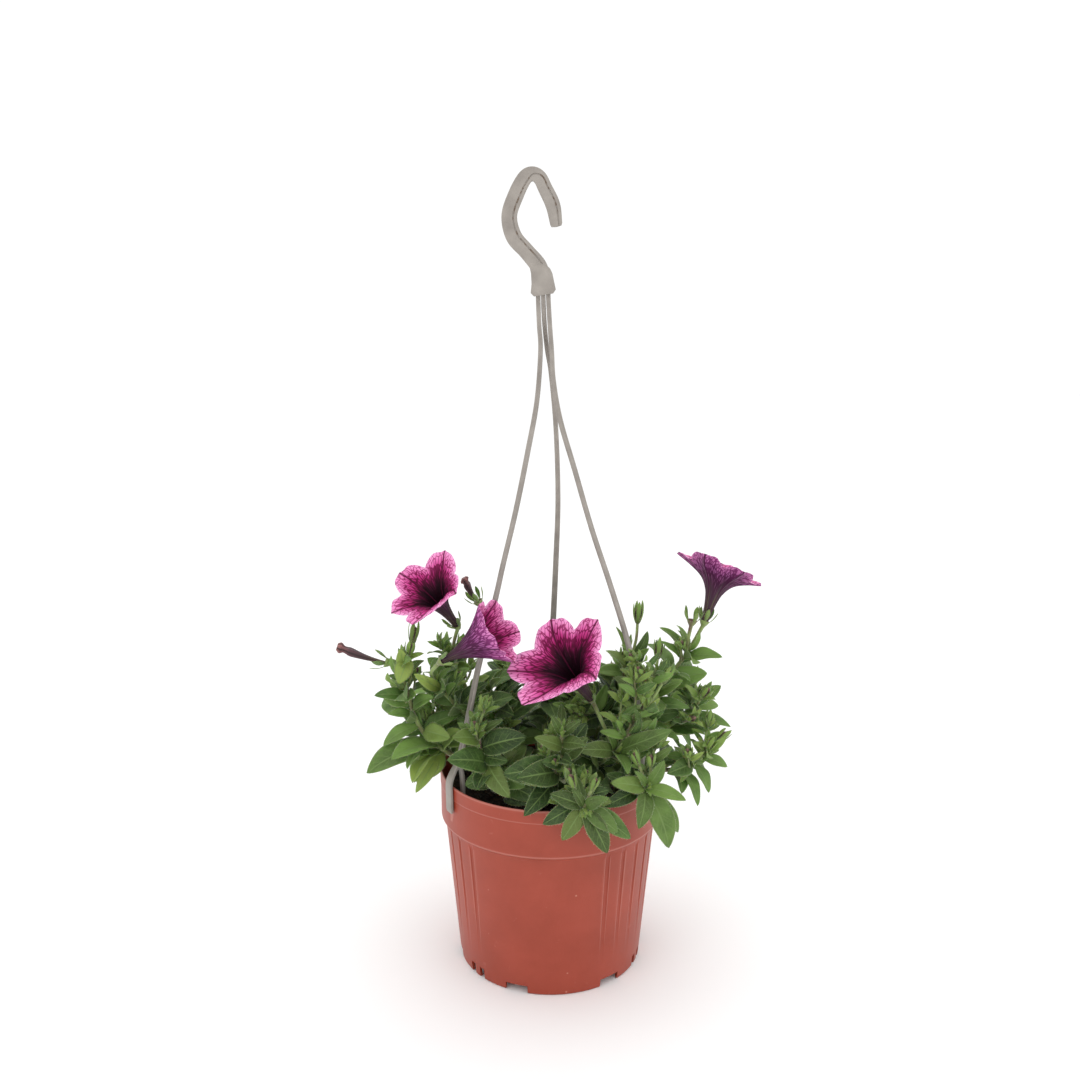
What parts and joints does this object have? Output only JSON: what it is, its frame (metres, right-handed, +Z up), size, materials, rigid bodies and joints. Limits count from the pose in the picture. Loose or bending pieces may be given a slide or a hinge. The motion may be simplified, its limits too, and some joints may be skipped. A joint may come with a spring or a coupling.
{
  "type": "petunia hanging basket",
  "caption": "Petunia with veined pink and purple trumpet flowers, planted in a red plastic pot that hangs from a clip-on plastic hanger with a hook.",
  "frame": {"origin": "the inside of the hook's crown, the point that hangs on a hook, rail or branch; the pot's axis is parallel to Z and passes 10.7 mm to the +X side of it", "axes": "+Z up, towards the hook; the front is -Y; the hook's mouth opens towards +X"},
  "size_m": [0.2613, 0.1766, 0.4921],
  "materials": {
    "pot_plastic": "satin moulded polypropylene",
    "soil": "damp peat compost",
    "hanger_plastic": "satin moulded polypropylene",
    "foliage": "softly hairy leaf",
    "petals": "velvety petal with dark veins",
    "spent_petals": "dry, wrinkled petal"
  },
  "bodies": {
    "root": {"pot": "pot_plastic", "soil": "soil", "hanger_hook": "hanger_plastic", "hanger_leg_left": "hanger_plastic", "hanger_leg_right": "hanger_plastic", "hanger_leg_back": "hanger_plastic", "stem_left_outer": "foliage", "stem_left_low": "foliage", "stem_left_back": "foliage", "stem_left_front": "foliage", "stem_centre_left": "foliage", "stem_centre_low": "foliage", "stem_front": "foliage", "stem_front_right": "foliage", "stem_centre": "foliage", "stem_right_low": "foliage", "stem_right_mid": "foliage", "stem_right_upper": "foliage", "stem_right_inner": "foliage", "stem_right_front": "foliage", "stem_left_upper": "foliage", "stem_centre_back": "foliage", "stem_back_left": "foliage", "stem_back": "foliage", "stem_back_right": "foliage", "stem_right_back": "foliage", "bloom_left": "petals", "bloom_side": "petals", "bloom_front": "petals", "bloom_right": "petals", "spent_bloom_left": "spent_petals", "spent_bloom_centre": "spent_petals"}
  },
  "joints": []
}
